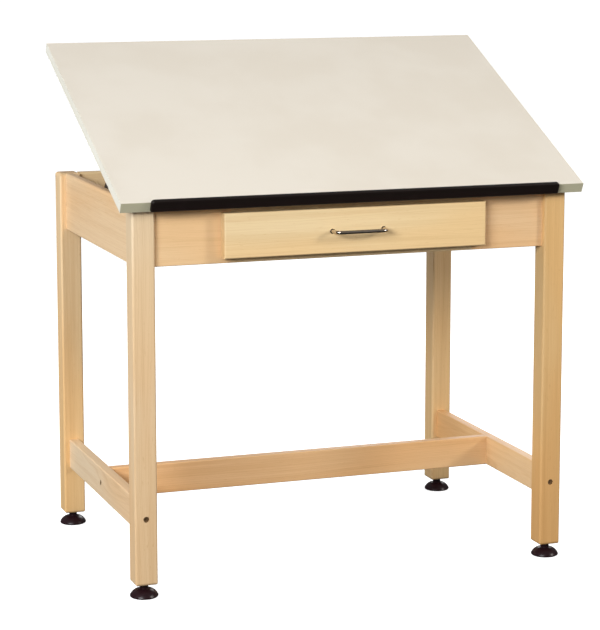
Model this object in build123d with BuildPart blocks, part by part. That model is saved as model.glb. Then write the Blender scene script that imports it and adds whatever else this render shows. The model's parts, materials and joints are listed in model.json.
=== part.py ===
from build123d import *
import os
from math import atan2, cos, radians, sin, sqrt

os.makedirs("parts", exist_ok=True)

# A wooden drafting table: a four-legged base with an H stretcher and one drawer, and a
# board that tilts about hinges along its front edge and is held by two clamped stays.
# X runs left to right, Y from front to rear, Z up. All sizes are in millimetres.

# ---- driving dimensions: base ----
base_width = 862.0
base_depth = 585.0
leg_size = 43.0
leg_bottom = 25.0
leg_top = 732.0
leg_edge_radius = 4.0
leg_top_radius = 8.0
leg_foot_radius = 6.0
stock_thick = 20.0
apron_low = 617.5
side_apron_high = 731.5
front_apron_high = 725.0
apron_top_radius = 6.0
apron_edge_radius = 2.0
rail_low = 121.5
rail_high = 181.0
rail_edge_radius = 2.5

# ---- driving dimensions: wood joints ----
tenon_thick = 10.0
tenon_length = 15.0
tenon_low = 632.0
tenon_high = 712.0
tenon_fit = 0.1
dowel_radius = 4.0
dowel_half_length = 17.0
dowel_spread = 19.0
stretcher_dowel_in_rail = 12.0
stretcher_dowel_spread = 16.0
bolt_radius = 3.0
bolt_hole_radius = 3.3
bolt_head_radius = 5.0
bolt_head_height = 5.0
bolt_socket_radius = 2.7
bolt_socket_depth = 3.0
counterbore_radius = 5.6
leg_counterbore = 7.0
rail_counterbore = 5.3
nut_radius = 5.0
nut_length = 15.0
nut_distance = 30.0
bolt_overrun = 8.0
hole_fit = 0.05

# ---- driving dimensions: leveling glides ----
glide_radius = 26.5
glide_height = 21.0
glide_dome_height = 16.0
glide_dome_radius = 20.0
glide_neck_radius = 8.0
glide_rim_height = 3.0
stud_radius = 4.0
stud_low = 8.0
stud_high = 68.0
stud_bore = 4.06
tee_flange_radius = 10.0
tee_flange_thick = 1.5
tee_barrel_radius = 5.5
tee_barrel_length = 9.0
stud_pocket_radius = 5.0
stud_pocket_depth = 55.0

# ---- driving dimensions: drawer ----
drawer_front_width = 520.0
drawer_front_low = 628.3
drawer_front_high = 712.5
drawer_front_proud = 11.0
drawer_front_radius = 3.0
opening_half_width = 240.0
opening_low = 634.0
opening_high = 706.0
box_half_width = 232.0
box_low = 638.0
box_high = 702.0
box_length = 430.0
box_stock = 12.0
bottom_thick = 5.0
bottom_height = 6.0
groove_depth = 5.0
side_clearance = 1.0
runner_inner_x = 222.0
runner_outer_x = 252.0
runner_low = 621.5
runner_ledge_high = 637.5
kicker_low = 704.0
kicker_high = 720.0
stub_length = 10.0
stub_thick = 8.0
stub_inset = 3.0
pull_centres = 101.6
pull_reach = 30.0
pull_radius = 3.5
pull_bend = 11.0
pull_collar_radius = 4.8
pull_collar_thick = 1.5
pull_z = 670.5
drawer_screw_x = 190.0
drawer_screw_rise = 16.0

# ---- driving dimensions: board ----
board_tilt = 24.7
board_width = 914.4
board_depth = 609.6
backer_thick = 0.7
core_thick = 17.5
laminate_thick = 0.8
band_thick = 1.0
board_overhang = 23.3
stop_length = 806.0
stop_thick = 9.0
stop_proud = 7.9
stop_low = 3.0
stop_end_radius = 7.0
stop_edge_radius = 3.0
spine_thick = 2.2
spine_depth = 8.0
kerf_fit = 0.1

# ---- driving dimensions: hinges ----
hinge_setback = 6.9
hinge_drop = 4.0
board_rest_gap = 1.0
hinge_spacing = 300.0
hinge_length = 60.0
hinge_leaf = 24.0
hinge_leaf_thick = 1.5
knuckle_radius = 3.4
knuckle_count = 5
knuckle_gap = 0.3
hinge_pin_radius = 1.5
hinge_screw_x = 20.0

# ---- driving dimensions: tilt stays ----
stay_reach = 240.0
stay_pivot_drop = 16.0
stay_slope = 10.0
tilt_flat = 0.0
tilt_steepest = 40.0
slot_end_play = 2.0
track_width = 26.0
track_thick = 3.0
track_standoff = 6.0
spacer_size = 20.0
spacer_gap = 12.0
track_end_margin = 2.0
track_corner_radius = 3.0
arm_width = 20.0
arm_thick = 4.0
arm_gap = 1.0
clamp_radius = 4.0
clamp_slot_play = 0.4
clamp_head_radius = 8.0
clamp_head_thick = 4.0
clamp_head_gap = 0.5
clamp_length = 22.5
knob_radius = 18.0
knob_thick = 14.0
knob_lobes = 5
knob_lobe_radius = 6.0
knob_boss_radius = 9.0
knob_boss_thick = 2.0
knob_gap = 0.4
knob_bore = 4.06
knob_edge_radius = 2.0
pivot_radius = 3.0
pivot_bore = 3.06
pivot_head_radius = 5.0
pivot_head_thick = 1.7
bracket_thick = 2.5
bracket_width = 36.0
bracket_flange = 30.0
bracket_nose_radius = 9.0
bracket_gap = 0.5
bracket_screw_inset = 18.0

# ---- driving dimensions: wood screws ----
screw_radius = 2.0
screw_hole_radius = 2.05
screw_head_radius = 4.0
screw_head_height = 2.2
hinge_screw_radius = 1.6
hinge_screw_head_radius = 3.2
hinge_screw_head_height = 1.2
hinge_screw_length = 14.0
runner_screw_length = 38.0
runner_screw_inset = 20.0
track_screw_length = 20.0
bracket_screw_length = 16.0
pull_screw_grip = 8.0
front_screw_grip = 14.0

# ---- derived places: base ----
# The origin is on the floor, midway between the pull's front and the rear glides' rims.
base_y = (drawer_front_proud + pull_reach + leg_size / 2 - glide_radius) / 2
front_y = base_y - base_depth / 2
rear_y = base_y + base_depth / 2
leg_x = (base_width - leg_size) / 2
leg_y = (base_depth - leg_size) / 2
leg_inner_x = base_width / 2 - leg_size
apron_inner_x = leg_x - stock_thick / 2
side_span = base_depth - 2 * leg_size
front_stock_y = front_y + leg_size / 2
rear_stock_y = rear_y - leg_size / 2
bay_front_y = front_stock_y + stock_thick / 2
bay_rear_y = rear_stock_y - stock_thick / 2
rail_mid = (rail_low + rail_high) / 2
nut_hole_depth = rail_mid - rail_low + nut_length / 2 + hole_fit
tenon_mid = (tenon_low + tenon_high) / 2
tenon_height = tenon_high - tenon_low

# ---- derived places: drawer ----
drawer_face_y = front_y - drawer_front_proud
drawer_back_y = drawer_face_y + stock_thick
box_rear_y = drawer_back_y + box_length
box_inner_x = box_half_width - box_stock
box_mid_z = (box_low + box_high) / 2

# ---- derived places: board ----
hinge_y = front_y + hinge_setback
hinge_z = leg_top + board_rest_gap - hinge_drop
tilt = radians(board_tilt)
board_thick = backer_thick + core_thick + laminate_thick
board_front = -board_overhang
board_rear = board_depth - board_overhang
board_mid = (board_front + board_rear) / 2
board_plane = Plane(
    origin=(0, hinge_y, hinge_z), x_dir=(1, 0, 0), z_dir=(0, -sin(tilt), cos(tilt))
)

# ---- derived places: tilt stays ----
# The hinge line, the arm's pivot and the arm's clamp bolt make an isosceles triangle, so
# the bolt stays on one straight line through the hinge and the arm turns twice the tilt.
slope = radians(stay_slope)
pivot_along = sqrt(stay_reach**2 - stay_pivot_drop**2)
pivot_lift = tilt - atan2(stay_pivot_drop, pivot_along)


def bolt_distance(board_angle):
    """Distance from the hinge line to the clamp bolt with the board at an angle."""
    lift = radians(board_angle) - atan2(stay_pivot_drop, pivot_along)
    return 2 * stay_reach * cos(lift + slope)


bolt_at_rest = bolt_distance(board_tilt)
slot_near = bolt_distance(tilt_steepest) - slot_end_play
slot_far = bolt_distance(tilt_flat) + slot_end_play
slot_mid = (slot_near + slot_far) / 2
spacer_near = slot_near - spacer_gap - spacer_size / 2
spacer_far = slot_far + spacer_gap + spacer_size / 2
track_length = spacer_far - spacer_near + spacer_size + 2 * track_end_margin
arm_inset = track_standoff + track_thick + arm_gap
stay_plane = Plane(
    origin=(-apron_inner_x, hinge_y, hinge_z),
    x_dir=(0, cos(slope), -sin(slope)),
    z_dir=(1, 0, 0),
)
bolt_y = hinge_y + bolt_at_rest * cos(slope)
bolt_z = hinge_z - bolt_at_rest * sin(slope)
pivot_y = hinge_y + stay_reach * cos(pivot_lift)
pivot_z = hinge_z + stay_reach * sin(pivot_lift)
arm_direction = (0, pivot_y - bolt_y, pivot_z - bolt_z)
bolt_plane = Plane(
    origin=(-apron_inner_x, bolt_y, bolt_z), x_dir=arm_direction, z_dir=(1, 0, 0)
)
bracket_x = apron_inner_x - arm_inset - arm_thick - bracket_gap

# ---- places of fasteners, each a plane on the head's seat, facing the head ----
leg_places = [(side, end) for side in (-1, 1) for end in (-1, 1)]
glide_names = {
    (-1, -1): "front_left",
    (1, -1): "front_right",
    (-1, 1): "rear_left",
    (1, 1): "rear_right",
}
leg_bolt_planes = [
    Plane(
        origin=(side * leg_x, base_y + end * (base_depth / 2 - leg_counterbore), rail_mid),
        z_dir=(0, end, 0),
    )
    for side, end in leg_places
]
stretcher_bolt_planes = [
    Plane(
        origin=(side * (leg_x + stock_thick / 2 - rail_counterbore), base_y, rail_mid),
        z_dir=(side, 0, 0),
    )
    for side in (-1, 1)
]
runner_screw_x = (opening_half_width + runner_outer_x) / 2
runner_screw_planes = [
    Plane(origin=(side * runner_screw_x, face_y, z), z_dir=(0, end, 0))
    for side in (-1, 1)
    for end, face_y in (
        (-1, front_stock_y - stock_thick / 2),
        (1, rear_stock_y + stock_thick / 2),
    )
    for z in (opening_low + runner_screw_inset, opening_high - runner_screw_inset)
]
drawer_screw_planes = [
    Plane(
        origin=(x, drawer_back_y + box_stock, box_mid_z + rise), z_dir=(0, 1, 0)
    )
    for x in (-drawer_screw_x, drawer_screw_x)
    for rise in (-drawer_screw_rise, drawer_screw_rise)
]
pull_screw_planes = [
    Plane(origin=(x, drawer_back_y + box_stock, pull_z), z_dir=(0, 1, 0))
    for x in (-pull_centres / 2, pull_centres / 2)
]
hinge_centres = (-hinge_spacing, 0, hinge_spacing)
hinge_screw_xs = [x + dx for x in hinge_centres for dx in (-hinge_screw_x, hinge_screw_x)]
hinge_base_planes = [
    Plane(origin=(x, front_stock_y, front_apron_high + hinge_leaf_thick), z_dir=(0, 0, 1))
    for x in hinge_screw_xs
]
hinge_board_planes = [
    Plane(
        origin=board_plane.from_local_coords(
            (x, front_stock_y - hinge_y, hinge_drop - hinge_leaf_thick)
        ),
        x_dir=(1, 0, 0),
        z_dir=-board_plane.z_dir,
    )
    for x in hinge_screw_xs
]
track_screw_planes = [
    Plane(
        origin=stay_plane.from_local_coords((s, 0, track_standoff + track_thick)),
        z_dir=(1, 0, 0),
    )
    for s in (spacer_near, spacer_far)
]
bracket_screw_planes = [
    Plane(
        origin=board_plane.from_local_coords(
            (-bracket_x + bracket_screw_inset, pivot_along + dy, hinge_drop - bracket_thick)
        ),
        x_dir=(1, 0, 0),
        z_dir=-board_plane.z_dir,
    )
    for dy in (-bracket_width / 4, bracket_width / 4)
]


def save(piece, label):
    """Name a finished piece and write its STEP file."""
    piece.part.label = label
    export_step(piece.part, f"parts/{label}.step")


def bore(planes, radius, depth):
    """Drill the same hole behind every plane in the part under construction."""
    with Locations(*planes):
        Hole(radius=radius, depth=depth)


def studs(planes, radius, length, head_radius, head_height):
    """Add one screw or bolt to the part under construction behind every plane."""
    with Locations(*planes):
        Cylinder(radius, length, align=(Align.CENTER, Align.CENTER, Align.MAX))
        Cylinder(head_radius, head_height, align=(Align.CENTER, Align.CENTER, Align.MIN))


def bar(x_span, y_span, z_span, mode=Mode.ADD):
    """Add or cut a box between limits in the part under construction."""
    spans = (x_span, y_span, z_span)
    with Locations([tuple((low + high) / 2 for low, high in spans)]):
        Box(*(high - low for low, high in spans), mode=mode)


# ---- legs ----
def dowel_planes(side, end):
    """Planes on the joint between one leg and its side rail, facing the rail's middle."""
    return [
        Plane(
            origin=(side * leg_x, base_y + end * side_span / 2, rail_mid + rise),
            z_dir=(0, -end, 0),
        )
        for rise in (-dowel_spread, dowel_spread)
    ]


def make_leg(side, end):
    """A square leg; side is -1 at the left and end is -1 at the front."""
    x = side * leg_x
    y = base_y + end * leg_y
    middle = (x, y, (leg_bottom + leg_top) / 2)
    fronts = Plane(origin=middle, x_dir=(1, 0, 0), z_dir=(0, -1, 0))
    flanks = Plane(origin=middle, x_dir=(0, 1, 0), z_dir=(1, 0, 0))
    with BuildPart() as leg:
        with BuildSketch(Plane.XY.offset(leg_bottom)):
            with Locations((x, y)):
                RectangleRounded(leg_size, leg_size, leg_edge_radius)
        extrude(amount=leg_top - leg_bottom)
        for face_plane in (fronts, flanks):
            with BuildSketch(face_plane) as outline:
                Rectangle(leg_size, leg_top - leg_bottom)
                fillet(outline.vertices().group_by(Axis.Y)[-1], leg_top_radius)
                fillet(outline.vertices().group_by(Axis.Y)[0], leg_foot_radius)
            extrude(amount=leg_size, both=True, mode=Mode.INTERSECT)
        mortise_depth = tenon_length + tenon_fit
        mortise_width = tenon_thick + 2 * tenon_fit
        mortise_height = tenon_height + 2 * tenon_fit
        inward = (leg_size - mortise_depth) / 2
        with Locations((x, y - end * inward, tenon_mid)):
            Box(mortise_width, mortise_depth, mortise_height, mode=Mode.SUBTRACT)
        with Locations((x - side * inward, y, tenon_mid)):
            Box(mortise_depth, mortise_width, mortise_height, mode=Mode.SUBTRACT)
        with Locations(Plane(origin=(x, base_y + end * base_depth / 2, rail_mid), z_dir=(0, end, 0))):
            CounterBoreHole(
                radius=bolt_hole_radius,
                counter_bore_radius=counterbore_radius,
                counter_bore_depth=leg_counterbore,
                depth=leg_size,
            )
        with Locations(*[-plane for plane in dowel_planes(side, end)]):
            Hole(radius=dowel_radius + hole_fit, depth=dowel_half_length + 1)
        with Locations(Plane(origin=(x, y, leg_bottom), z_dir=(0, 0, -1))):
            CounterBoreHole(
                radius=stud_pocket_radius,
                counter_bore_radius=tee_barrel_radius + hole_fit,
                counter_bore_depth=tee_barrel_length,
                depth=stud_pocket_depth,
            )
    return leg


for side, end in leg_places:
    leg = make_leg(side, end)
    save(leg, f"leg_{glide_names[side, end]}")


# ---- aprons ----
def make_side_apron(side):
    """A side apron with its two tenons and the pilot holes of the stay's track."""
    x = side * leg_x
    half = stock_thick / 2
    with BuildPart() as apron:
        bar(
            (x - half, x + half),
            (base_y - side_span / 2, base_y + side_span / 2),
            (apron_low, side_apron_high),
        )
        long_edges = apron.edges().filter_by(Axis.Y)
        fillet(long_edges.group_by(Axis.Z)[-1], apron_top_radius)
        fillet(apron.edges().filter_by(Axis.Y).group_by(Axis.Z)[0], apron_edge_radius)
        bar(
            (x - tenon_thick / 2, x + tenon_thick / 2),
            (base_y - side_span / 2 - tenon_length, base_y + side_span / 2 + tenon_length),
            (tenon_low, tenon_high),
        )
        if side > 0:
            mirrored = [
                Plane(origin=(-plane.origin.X, plane.origin.Y, plane.origin.Z), z_dir=(-1, 0, 0))
                for plane in track_screw_planes
            ]
            bore(mirrored, screw_hole_radius, track_screw_length)
        else:
            bore(track_screw_planes, screw_hole_radius, track_screw_length)
    return apron


for side, name in ((-1, "left"), (1, "right")):
    side_apron = make_side_apron(side)
    save(side_apron, f"side_apron_{name}")

with BuildPart() as rear_apron:
    bar(
        (-leg_inner_x, leg_inner_x),
        (rear_stock_y - stock_thick / 2, rear_stock_y + stock_thick / 2),
        (apron_low, side_apron_high),
    )
    fillet(rear_apron.edges().filter_by(Axis.X).group_by(Axis.Z)[-1], apron_top_radius)
    fillet(rear_apron.edges().filter_by(Axis.X).group_by(Axis.Z)[0], apron_edge_radius)
    bar(
        (-leg_inner_x - tenon_length, leg_inner_x + tenon_length),
        (rear_stock_y - tenon_thick / 2, rear_stock_y + tenon_thick / 2),
        (tenon_low, tenon_high),
    )
    bore(runner_screw_planes, screw_hole_radius, runner_screw_length)
save(rear_apron, "rear_apron")

rail_spans = ((apron_low, opening_low), (opening_high, front_apron_high))
with BuildPart() as front_apron_ends:
    bar(
        (opening_half_width, leg_inner_x),
        (front_stock_y - stock_thick / 2, front_stock_y + stock_thick / 2),
        (apron_low, front_apron_high),
    )
    fillet(front_apron_ends.edges().filter_by(Axis.X).group_by(Axis.Z)[0], apron_edge_radius)
    bar(
        (leg_inner_x - 1, leg_inner_x + tenon_length),
        (front_stock_y - tenon_thick / 2, front_stock_y + tenon_thick / 2),
        (tenon_low, tenon_high),
    )
    for low, high in rail_spans:
        bar(
            (opening_half_width, opening_half_width + stub_length + tenon_fit),
            (front_stock_y - stub_thick / 2 - tenon_fit, front_stock_y + stub_thick / 2 + tenon_fit),
            (low + stub_inset - tenon_fit, high - stub_inset + tenon_fit),
            mode=Mode.SUBTRACT,
        )
    mirror(about=Plane.YZ)
    bore(hinge_base_planes, hinge_screw_radius + hole_fit, hinge_screw_length)
    bore(runner_screw_planes, screw_hole_radius, runner_screw_length)
save(front_apron_ends, "front_apron_ends")

with BuildPart() as drawer_rails:
    for low, high in rail_spans:
        bar(
            (-opening_half_width, opening_half_width),
            (front_stock_y - stock_thick / 2, front_stock_y + stock_thick / 2),
            (low, high),
        )
        bar(
            (-opening_half_width - stub_length, opening_half_width + stub_length),
            (front_stock_y - stub_thick / 2, front_stock_y + stub_thick / 2),
            (low + stub_inset, high - stub_inset),
        )
    bottom_edges = drawer_rails.edges().filter_by(Axis.X).group_by(Axis.Z)[0]
    fillet(bottom_edges, apron_edge_radius)
    bore(hinge_base_planes, hinge_screw_radius + hole_fit, hinge_screw_length)
save(drawer_rails, "drawer_rails")


# ---- lower rails ----
def stretcher_dowel_planes(side):
    """Planes on the joint of the long stretcher, facing along the stretcher."""
    return [
        Plane(
            origin=(side * apron_inner_x, base_y, rail_mid + rise), z_dir=(-side, 0, 0)
        )
        for rise in (-stretcher_dowel_spread, stretcher_dowel_spread)
    ]


def make_side_rail(side):
    """A low rail between the front and rear legs, bolted at both ends and in the middle."""
    x = side * leg_x
    with BuildPart() as rail:
        bar(
            (x - stock_thick / 2, x + stock_thick / 2),
            (base_y - side_span / 2, base_y + side_span / 2),
            (rail_low, rail_high),
        )
        fillet(rail.edges().filter_by(Axis.Y), rail_edge_radius)
        bore(leg_bolt_planes, bolt_hole_radius, leg_size + nut_distance + bolt_overrun)
        for end in (-1, 1):
            bore(dowel_planes(side, end), dowel_radius + hole_fit, dowel_half_length + 1)
            bore(
                [-plane for plane in dowel_planes(side, end)],
                dowel_radius + hole_fit,
                dowel_half_length + 1,
            )
            nut_y = base_y + end * (side_span / 2 - nut_distance)
            nut_seat = Plane(origin=(x, nut_y, rail_low), z_dir=(0, 0, -1))
            bore([nut_seat], nut_radius + hole_fit, nut_hole_depth)
        with Locations(Plane(origin=(x + side * stock_thick / 2, base_y, rail_mid), z_dir=(side, 0, 0))):
            CounterBoreHole(
                radius=bolt_hole_radius,
                counter_bore_radius=counterbore_radius,
                counter_bore_depth=rail_counterbore,
                depth=stock_thick,
            )
        bore(stretcher_dowel_planes(side), dowel_radius + hole_fit, stretcher_dowel_in_rail + 1)
    return rail


for side, name in ((-1, "left"), (1, "right")):
    side_rail = make_side_rail(side)
    save(side_rail, f"side_rail_{name}")

with BuildPart() as long_stretcher:
    bar(
        (-apron_inner_x, apron_inner_x),
        (base_y - stock_thick / 2, base_y + stock_thick / 2),
        (rail_low, rail_high),
    )
    fillet(long_stretcher.edges().filter_by(Axis.X), rail_edge_radius)
    bore(stretcher_bolt_planes, bolt_hole_radius, stock_thick + nut_distance + bolt_overrun)
    for side in (-1, 1):
        bore(
            [-plane for plane in stretcher_dowel_planes(side)],
            dowel_radius + hole_fit,
            dowel_half_length + 1,
        )
        nut_x = side * (apron_inner_x - nut_distance)
        nut_seat = Plane(origin=(nut_x, base_y, rail_low), z_dir=(0, 0, -1))
        bore([nut_seat], nut_radius + hole_fit, nut_hole_depth)
save(long_stretcher, "long_stretcher")

# ---- frame bolts, barrel nuts and dowels ----
leg_bolt_length = leg_size - leg_counterbore + nut_distance + bolt_overrun
stretcher_bolt_length = stock_thick - rail_counterbore + nut_distance + bolt_overrun
with BuildPart() as frame_bolts:
    studs(leg_bolt_planes, bolt_radius, leg_bolt_length, bolt_head_radius, bolt_head_height)
    studs(
        stretcher_bolt_planes,
        bolt_radius,
        stretcher_bolt_length,
        bolt_head_radius,
        bolt_head_height,
    )
    head_planes = [plane.offset(bolt_head_height) for plane in leg_bolt_planes]
    head_planes += [plane.offset(bolt_head_height) for plane in stretcher_bolt_planes]
    for head_plane in head_planes:
        with BuildSketch(head_plane):
            RegularPolygon(radius=bolt_socket_radius, side_count=6)
        extrude(amount=-bolt_socket_depth, mode=Mode.SUBTRACT)
save(frame_bolts, "frame_bolts")

with BuildPart() as barrel_nuts:
    for side, end in leg_places:
        nut_y = base_y + end * (side_span / 2 - nut_distance)
        with Locations((side * leg_x, nut_y, rail_mid)):
            Cylinder(nut_radius, nut_length)
    for side in (-1, 1):
        with Locations((side * (apron_inner_x - nut_distance), base_y, rail_mid)):
            Cylinder(nut_radius, nut_length)
    bore(leg_bolt_planes, bolt_radius + hole_fit, leg_bolt_length + bolt_overrun)
    bore(stretcher_bolt_planes, bolt_radius + hole_fit, stretcher_bolt_length + bolt_overrun)
save(barrel_nuts, "barrel_nuts")

with BuildPart() as dowels:
    for side, end in leg_places:
        with Locations(*dowel_planes(side, end)):
            Cylinder(dowel_radius, 2 * dowel_half_length)
    for side in (-1, 1):
        for plane in stretcher_dowel_planes(side):
            with Locations(plane):
                dowel_in_rail = (Align.CENTER, Align.CENTER, Align.MAX)
                Cylinder(dowel_radius, stretcher_dowel_in_rail, align=dowel_in_rail)
                dowel_in_stretcher = (Align.CENTER, Align.CENTER, Align.MIN)
                Cylinder(dowel_radius, dowel_half_length, align=dowel_in_stretcher)
save(dowels, "dowels")

# ---- drawer runners and kickers ----
runner_wall_x = box_half_width + side_clearance
with BuildPart() as drawer_runners:
    bar((runner_inner_x, runner_outer_x), (bay_front_y, bay_rear_y), (runner_low, runner_ledge_high))
    bar((runner_wall_x, runner_outer_x), (bay_front_y, bay_rear_y), (runner_ledge_high, kicker_low))
    mirror(about=Plane.YZ)
    bore(runner_screw_planes, screw_hole_radius, runner_screw_length + 1)
save(drawer_runners, "drawer_runners")

with BuildPart() as drawer_kickers:
    bar((runner_inner_x, runner_outer_x), (bay_front_y, bay_rear_y), (kicker_low, kicker_high))
    mirror(about=Plane.YZ)
save(drawer_kickers, "drawer_kickers")

with BuildPart() as runner_screws:
    studs(
        runner_screw_planes,
        screw_radius,
        runner_screw_length,
        screw_head_radius,
        hinge_screw_head_height,
    )
save(runner_screws, "runner_screws")

# ---- drawer ----
pull_screw_length = box_stock + stock_thick + pull_screw_grip
front_screw_length = box_stock + front_screw_grip
groove_low = box_low + bottom_height
groove_high = groove_low + bottom_thick

with BuildPart() as drawer_front:
    bar(
        (-drawer_front_width / 2, drawer_front_width / 2),
        (drawer_face_y, drawer_back_y),
        (drawer_front_low, drawer_front_high),
    )
    fillet(drawer_front.faces().sort_by(Axis.Y)[0].edges(), drawer_front_radius)
    bore(pull_screw_planes, screw_hole_radius, pull_screw_length)
    bore(drawer_screw_planes, screw_hole_radius, front_screw_length + 1)
save(drawer_front, "drawer_front")


def cut_bottom_groove():
    """Cut the groove that holds the bottom panel in the part under construction."""
    bar(
        (-box_inner_x - groove_depth, box_inner_x + groove_depth),
        (drawer_back_y + box_stock - groove_depth, box_rear_y - box_stock + groove_depth),
        (groove_low - tenon_fit, groove_high + tenon_fit),
        mode=Mode.SUBTRACT,
    )


for side, name in ((-1, "left"), (1, "right")):
    inner, outer = sorted((side * box_inner_x, side * box_half_width))
    with BuildPart() as drawer_side:
        bar((inner, outer), (drawer_back_y, box_rear_y), (box_low, box_high))
        fillet(drawer_side.edges().filter_by(Axis.Y).group_by(Axis.Z)[-1], apron_edge_radius)
        cut_bottom_groove()
    save(drawer_side, f"drawer_side_{name}")

with BuildPart() as drawer_subfront:
    bar(
        (-box_inner_x, box_inner_x),
        (drawer_back_y, drawer_back_y + box_stock),
        (box_low, box_high),
    )
    cut_bottom_groove()
    bore(pull_screw_planes, screw_hole_radius, pull_screw_length)
    bore(drawer_screw_planes, screw_hole_radius, front_screw_length)
save(drawer_subfront, "drawer_subfront")

with BuildPart() as drawer_back:
    bar((-box_inner_x, box_inner_x), (box_rear_y - box_stock, box_rear_y), (box_low, box_high))
    fillet(drawer_back.edges().filter_by(Axis.X).group_by(Axis.Z)[-1], apron_edge_radius)
    cut_bottom_groove()
save(drawer_back, "drawer_back")

with BuildPart() as drawer_bottom:
    edge = groove_depth - tenon_fit
    bar(
        (-box_inner_x - edge, box_inner_x + edge),
        (drawer_back_y + box_stock - edge, box_rear_y - box_stock + edge),
        (groove_low, groove_high),
    )
save(drawer_bottom, "drawer_bottom")

with BuildPart() as drawer_pull:
    bar_y = drawer_face_y - pull_reach + pull_radius
    half = pull_centres / 2
    with BuildLine() as pull_path:
        FilletPolyline(
            (-half, drawer_face_y, pull_z),
            (-half, bar_y, pull_z),
            (half, bar_y, pull_z),
            (half, drawer_face_y, pull_z),
            radius=pull_bend,
        )
    with BuildSketch(Plane(origin=(-half, drawer_face_y, pull_z), z_dir=(0, -1, 0))):
        Circle(pull_radius)
    sweep(path=pull_path.wires()[0])
    collar_planes = [
        Plane(origin=(x, drawer_face_y, pull_z), z_dir=(0, -1, 0)) for x in (-half, half)
    ]
    for collar_plane in collar_planes:
        with BuildSketch(collar_plane):
            Circle(pull_collar_radius)
        extrude(amount=pull_collar_thick)
    bore(pull_screw_planes, screw_hole_radius, pull_screw_length + 1)
save(drawer_pull, "drawer_pull")

with BuildPart() as pull_screws:
    studs(
        pull_screw_planes, screw_radius, pull_screw_length, screw_head_radius, screw_head_height
    )
save(pull_screws, "pull_screws")

with BuildPart() as drawer_front_screws:
    studs(
        drawer_screw_planes,
        screw_radius,
        front_screw_length,
        screw_head_radius,
        screw_head_height,
    )
save(drawer_front_screws, "drawer_front_screws")


# ---- board ----
def board_layer(edge_inset, low, high):
    """Extrude one flat layer of the board between two heights above the hinge line."""
    with BuildSketch(board_plane.offset(low)) as layer:
        with Locations((0, board_mid)):
            Rectangle(board_width - 2 * edge_inset, board_depth - 2 * edge_inset)
    extrude(layer.sketch, amount=high - low)


def cut_kerf():
    """Cut the kerf in the front edge that takes the pencil stop's spine."""
    with BuildSketch(board_plane.offset(spine_mid - spine_thick / 2 - kerf_fit)) as kerf:
        with Locations((0, board_front)):
            kerf_width = stop_length - 2 * stop_end_radius + 2 * kerf_fit
            Rectangle(kerf_width, 2 * (spine_depth + kerf_fit))
    extrude(kerf.sketch, amount=spine_thick + 2 * kerf_fit, mode=Mode.SUBTRACT)


core_low = hinge_drop + backer_thick
core_high = core_low + core_thick
board_top = hinge_drop + board_thick
spine_mid = (core_low + core_high) / 2
bracket_planes = bracket_screw_planes + [
    Plane(
        origin=(-plane.origin.X, plane.origin.Y, plane.origin.Z),
        x_dir=(1, 0, 0),
        z_dir=-board_plane.z_dir,
    )
    for plane in bracket_screw_planes
]

with BuildPart() as board_core:
    board_layer(band_thick, core_low, core_high)
    cut_kerf()
    bore(hinge_board_planes, hinge_screw_radius + hole_fit, hinge_screw_length)
    bore(bracket_planes, screw_hole_radius, bracket_screw_length)
save(board_core, "board_core")

with BuildPart() as board_backer:
    board_layer(band_thick, hinge_drop, core_low)
    bore(hinge_board_planes, hinge_screw_radius + hole_fit, hinge_screw_length)
    bore(bracket_planes, screw_hole_radius, bracket_screw_length)
save(board_backer, "board_backer")

with BuildPart() as board_laminate:
    board_layer(band_thick, core_high, board_top)
save(board_laminate, "board_laminate")

with BuildPart() as edge_band_front:
    with BuildSketch(board_plane.offset(hinge_drop)):
        with Locations((0, board_front + band_thick / 2)):
            Rectangle(board_width, band_thick)
    extrude(amount=board_thick)
    cut_kerf()
save(edge_band_front, "edge_band_front")

with BuildPart() as edge_bands:
    with BuildSketch(board_plane.offset(hinge_drop)):
        with Locations((0, board_rear - band_thick / 2)):
            Rectangle(board_width, band_thick)
        with GridLocations(board_width - band_thick, 0, 2, 1):
            with Locations((0, board_mid)):
                Rectangle(band_thick, board_depth - 2 * band_thick)
    extrude(amount=board_thick)
save(edge_bands, "edge_bands")

# ---- pencil stop ----
stop_high = board_top + stop_proud
stop_bottom = hinge_drop + stop_low
stop_height = stop_high - stop_bottom
stop_plane = Plane(
    origin=board_plane.from_local_coords((0, board_front, (stop_high + stop_bottom) / 2)),
    x_dir=(1, 0, 0),
    z_dir=-board_plane.y_dir,
)
with BuildPart() as pencil_stop:
    with BuildSketch(stop_plane) as stop_outline:
        Rectangle(stop_length, stop_height)
        fillet(stop_outline.vertices().group_by(Axis.Y)[-1], stop_end_radius)
        fillet(stop_outline.vertices().group_by(Axis.Y)[0], stop_edge_radius)
    extrude(amount=stop_thick)
    fillet(pencil_stop.faces().sort_by(Axis.Y)[0].edges(), stop_edge_radius)
    with BuildSketch(board_plane.offset(spine_mid - spine_thick / 2)):
        with Locations((0, board_front)):
            Rectangle(stop_length - 2 * stop_end_radius, 2 * spine_depth)
    extrude(amount=spine_thick)
save(pencil_stop, "pencil_stop")

# ---- hinges ----
knuckle_pitch = hinge_length / knuckle_count
knuckle_length = knuckle_pitch - knuckle_gap


def knuckle_centres(first):
    """X places of every second knuckle of every hinge, from the first one given."""
    start = -hinge_length / 2 + knuckle_pitch / 2
    places = range(first, knuckle_count, 2)
    return [x + start + knuckle_pitch * place for x in hinge_centres for place in places]


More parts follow.
